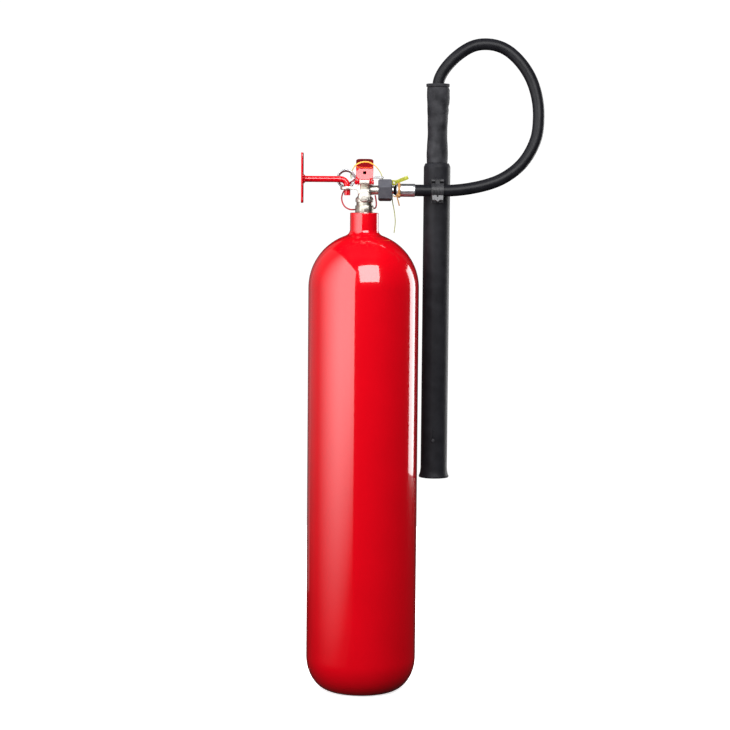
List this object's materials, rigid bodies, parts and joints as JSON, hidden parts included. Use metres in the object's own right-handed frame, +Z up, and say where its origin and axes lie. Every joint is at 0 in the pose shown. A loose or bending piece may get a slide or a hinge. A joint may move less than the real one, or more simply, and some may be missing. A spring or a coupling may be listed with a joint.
{
  "type": "carbon-dioxide fire extinguisher",
  "caption": "Red steel gas cylinder with a squeeze-lever valve, pull pin, wall hook, looped hose and long black discharge horn.",
  "frame": {"origin": "centre of the flat base that it stands on", "axes": "+Z up along the cylinder, +X towards the hose and horn, -Y the front with the pressure-relief plug"},
  "size_m": [0.3327, 0.182, 0.9028],
  "materials": {
    "red_paint": "glossy red enamel",
    "nickel": "satin nickel plate over brass",
    "brass": "machined",
    "steel": "bright zinc or stainless",
    "dark_nut": "dark grey satin",
    "hose_rubber": "satin black cover",
    "grip_rubber": "matt foam-like sleeve",
    "seal_rubber": "matt",
    "horn_plastic": "satin black",
    "clip_plastic": "satin black",
    "nylon": "natural",
    "tamper_seal": "translucent yellow-green",
    "lanyard": "red plastic-coated cord",
    "tie": "tan strap"
  },
  "bodies": {
    "root": {"cylinder": "red_paint", "neck_seal": "seal_rubber", "dip_tube": "nylon", "valve_body": "nickel", "burst_plug": "nickel", "burst_washer": "steel", "burst_disc": "nickel", "spring_retainer": "brass", "valve_spring": "steel", "stem_o_ring": "seal_rubber", "stem_guide": "brass", "lever_pivot_bolt": "steel", "lever_pivot_nut": "red_paint", "carry_handle": "red_paint", "handle_screw_lower": "steel", "handle_screw_upper": "steel", "seal_strand": "tamper_seal", "seal_flag": "tamper_seal", "seal_tail": "tamper_seal", "pin_lanyard": "lanyard", "union_nut": "dark_nut", "outlet_washer": "nylon", "hose_nipple": "nickel", "hose_ferrule": "steel", "tag_tie": "tie", "hose": "hose_rubber"},
    "lever": {"operating_lever": "red_paint"},
    "stem": {"valve_stem": "brass", "stem_seal": "nylon"},
    "pull_pin": {"safety_pin": "steel"},
    "wall_hook": {"hook_rod": "red_paint", "hook_plate": "red_paint"},
    "horn_assembly": {"horn": "horn_plastic", "horn_rivet": "steel", "nozzle": "brass", "grip": "grip_rubber", "discharge_tube": "steel", "grip_ferrule": "steel", "horn_lock_nut": "brass", "clip_base": "clip_plastic", "clip_screw": "steel", "clip_hinge_pin": "steel"},
    "clip_gate": {"clip_gate": "clip_plastic"}
  },
  "joints": [
    {"name": "lever_squeeze", "type": "hinge", "parent": "root", "child": "lever", "pos_m": [0, -0.012, 0.7044], "axis": [-1, 0, 0], "range_deg": [0, 12], "stiffness_Nm_per_rad": 0.6, "springref_deg": -34.38},
    {"name": "stem_travel", "type": "slide", "parent": "root", "child": "stem", "axis": [0, 0, -1], "range_m": [0, 0.003], "deforming": ["valve_spring"]},
    {"name": "pin_pull", "type": "slide", "parent": "root", "child": "pull_pin", "axis": [-1, 0, 0], "range_m": [0, 0.04], "deforming": ["pin_lanyard", "seal_strand"]},
    {"name": "hook_swivel", "type": "hinge", "parent": "root", "child": "wall_hook", "pos_m": [-0.0236, 0, 0.6965], "axis": [0, 0, 1], "range_deg": [-10, 80]},
    {"name": "horn_swing", "type": "hinge", "parent": "root", "child": "horn_assembly", "pos_m": [0.1, 0, 0.694], "axis": [1, 0, 0], "range_deg": [-15, 20], "deforming": ["hose"]},
    {"name": "clip_gate_hinge", "type": "hinge", "parent": "horn_assembly", "child": "clip_gate", "pos_m": [0.1, 0.0025, 0.7074], "axis": [-1, 0, 0], "range_deg": [0, 100]}
  ],
  "couplings": [
    {"joint": "stem_travel", "follows": "lever_squeeze", "m_per_rad": 0.013}
  ]
}
